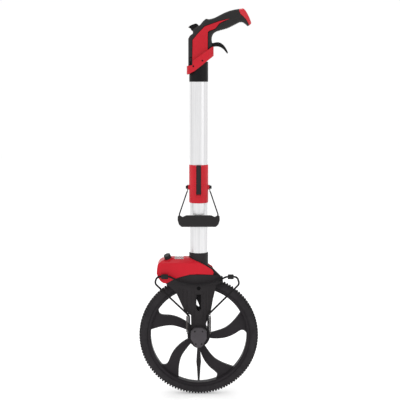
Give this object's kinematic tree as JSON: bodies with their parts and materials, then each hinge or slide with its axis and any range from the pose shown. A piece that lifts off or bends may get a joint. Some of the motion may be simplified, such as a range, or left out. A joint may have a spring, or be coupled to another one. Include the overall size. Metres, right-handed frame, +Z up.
{
  "type": "measuring wheel",
  "caption": "Walking distance wheel: spoked wheel in a fork with a belt-driven counter, kickstand, folding mast, carry bail and pistol grip with a brake lever.",
  "frame": {"origin": "on the floor under the axle, midway between the widest points across the wheel", "axes": "+Z up along the mast, +X towards the grip (rear), -Y the side with the kickstand"},
  "size_m": [0.3184, 0.0993, 1.0224],
  "materials": {
    "black_rubber": "matt moulded rubber",
    "wheel_plastic": "satin moulded glass-filled plastic",
    "black_plastic": "fine-grained moulded plastic",
    "grey_plastic": "fine-grained moulded plastic",
    "red_plastic": "semi-gloss moulded plastic",
    "tube_aluminium": "satin anodised",
    "steel": "plain machined steel",
    "black_wire": "black powder coat",
    "belt_rubber": "matt",
    "clear_window": "clear moulded lens",
    "white_plastic": "smooth"
  },
  "bodies": {
    "frame": {"near_fork_leg": "black_plastic", "far_fork_leg": "black_plastic", "belt_cover": "black_plastic", "drive_belt": "belt_rubber", "crown": "black_plastic", "crown_screws": "steel", "hub_cover": "grey_plastic", "hub_cover_screws": "steel", "axle": "steel", "axle_nut": "steel", "pointer": "black_plastic", "stand_spring_left": "steel", "stand_spring_right": "steel", "spring_anchors": "steel", "stand_clip": "black_plastic", "counter_housing_near": "red_plastic", "counter_housing_far": "red_plastic", "counter_window": "clear_window", "counter_frame": "black_plastic", "drum_shaft": "steel", "knob_collar": "red_plastic", "housing_screws": "steel", "lower_tube": "tube_aluminium", "lower_joint": "red_plastic", "hinge_pin": "steel", "bail_screws": "steel"},
    "wheel": {"tyre": "black_rubber", "wheel_rim": "wheel_plastic", "hub_bearings": "steel", "hub_pulley": "black_plastic"},
    "counter_input": {"input_pulley": "black_plastic"},
    "digit_drum_1": {"drum_1": "white_plastic"},
    "digit_drum_2": {"drum_2": "white_plastic"},
    "digit_drum_3": {"drum_3": "white_plastic"},
    "digit_drum_4": {"drum_4": "white_plastic"},
    "digit_drum_5": {"drum_5": "white_plastic"},
    "kickstand": {"kickstand_frame": "black_wire", "kickstand_feet": "black_rubber"},
    "counter_knob": {"reset_knob": "black_plastic"},
    "brake": {"brake_arm": "black_plastic", "brake_pad": "black_rubber"},
    "mast": {"upper_joint": "red_plastic", "upper_tube": "tube_aluminium", "latch_pin": "steel", "ferrule": "black_plastic", "handle_shell_near": "red_plastic", "handle_shell_far": "red_plastic", "grip": "black_rubber", "grip_end_cap": "red_plastic", "handle_screws": "steel", "brake_lever_pin": "steel", "thumb_lever_pin": "steel"},
    "latch": {"latch_lever": "black_plastic"},
    "trigger": {"brake_lever": "black_plastic"},
    "thumb": {"thumb_lever": "black_plastic"},
    "bail": {"bail_wire": "black_wire", "bail_grip": "black_rubber"}
  },
  "joints": [
    {"name": "wheel_spin", "type": "hinge", "parent": "frame", "child": "wheel", "pos_m": [0, 0, 0.15915], "axis": [0, 1, 0], "continuous": true},
    {"name": "counter_input_spin", "type": "hinge", "parent": "frame", "child": "counter_input", "pos_m": [0, -0.026, 0.291], "axis": [0, 1, 0], "continuous": true},
    {"name": "drum_1_spin", "type": "hinge", "parent": "frame", "child": "digit_drum_1", "pos_m": [-0.052, 0, 0.35], "axis": [0, 1, 0], "continuous": true},
    {"name": "drum_2_spin", "type": "hinge", "parent": "frame", "child": "digit_drum_2", "pos_m": [-0.052, 0, 0.35], "axis": [0, 1, 0], "continuous": true},
    {"name": "drum_3_spin", "type": "hinge", "parent": "frame", "child": "digit_drum_3", "pos_m": [-0.052, 0, 0.35], "axis": [0, 1, 0], "continuous": true},
    {"name": "drum_4_spin", "type": "hinge", "parent": "frame", "child": "digit_drum_4", "pos_m": [-0.052, 0, 0.35], "axis": [0, 1, 0], "continuous": true},
    {"name": "drum_5_spin", "type": "hinge", "parent": "frame", "child": "digit_drum_5", "pos_m": [-0.052, 0, 0.35], "axis": [0, 1, 0], "continuous": true},
    {"name": "kickstand_hinge", "type": "hinge", "parent": "frame", "child": "kickstand", "pos_m": [0, -0.043, 0.16], "axis": [1, 0, 0], "range_deg": [0, 156], "deforming": ["stand_spring_left", "stand_spring_right"]},
    {"name": "counter_knob_turn", "type": "hinge", "parent": "frame", "child": "counter_knob", "pos_m": [-0.08, -0.017, 0.3665], "axis": [-0.3094, -0.3394, 0.8883], "continuous": true},
    {"name": "mast_fold", "type": "hinge", "parent": "frame", "child": "mast", "pos_m": [0, 0.0335, 0.563], "axis": [-1, 0, 0], "range_deg": [0, 175]},
    {"name": "latch_hinge", "type": "hinge", "parent": "mast", "child": "latch", "pos_m": [0, -0.0279, 0.6136], "axis": [-1, 0, 0], "range_deg": [0, 18], "stiffness_Nm_per_rad": 0.05},
    {"name": "brake_lever_hinge", "type": "hinge", "parent": "mast", "child": "trigger", "pos_m": [0.0265, 0, 0.93], "axis": [0, -1, 0], "range_deg": [0, 20], "stiffness_Nm_per_rad": 0.3},
    {"name": "thumb_lever_hinge", "type": "hinge", "parent": "mast", "child": "thumb", "pos_m": [-0.003, 0, 0.966], "axis": [0, -1, 0], "range_deg": [0, 12], "stiffness_Nm_per_rad": 0.2},
    {"name": "brake_arm_hinge", "type": "hinge", "parent": "frame", "child": "brake", "pos_m": [0.034, 0, 0.328], "axis": [0, 1, 0], "range_deg": [0, 5]},
    {"name": "bail_hinge", "type": "hinge", "parent": "frame", "child": "bail", "pos_m": [0, 0, 0.556], "axis": [-1, 0, 0], "range_deg": [0, 130]}
  ],
  "couplings": [
    {"joint": "counter_input_spin", "follows": "wheel_spin", "ratio": 1},
    {"joint": "drum_1_spin", "follows": "wheel_spin", "ratio": 1},
    {"joint": "drum_2_spin", "follows": "wheel_spin", "ratio": 0.1},
    {"joint": "drum_3_spin", "follows": "wheel_spin", "ratio": 0.01},
    {"joint": "drum_4_spin", "follows": "wheel_spin", "ratio": 0.001},
    {"joint": "drum_5_spin", "follows": "wheel_spin", "ratio": 0.0001},
    {"joint": "brake_arm_hinge", "follows": "brake_lever_hinge", "ratio": 0.25}
  ]
}
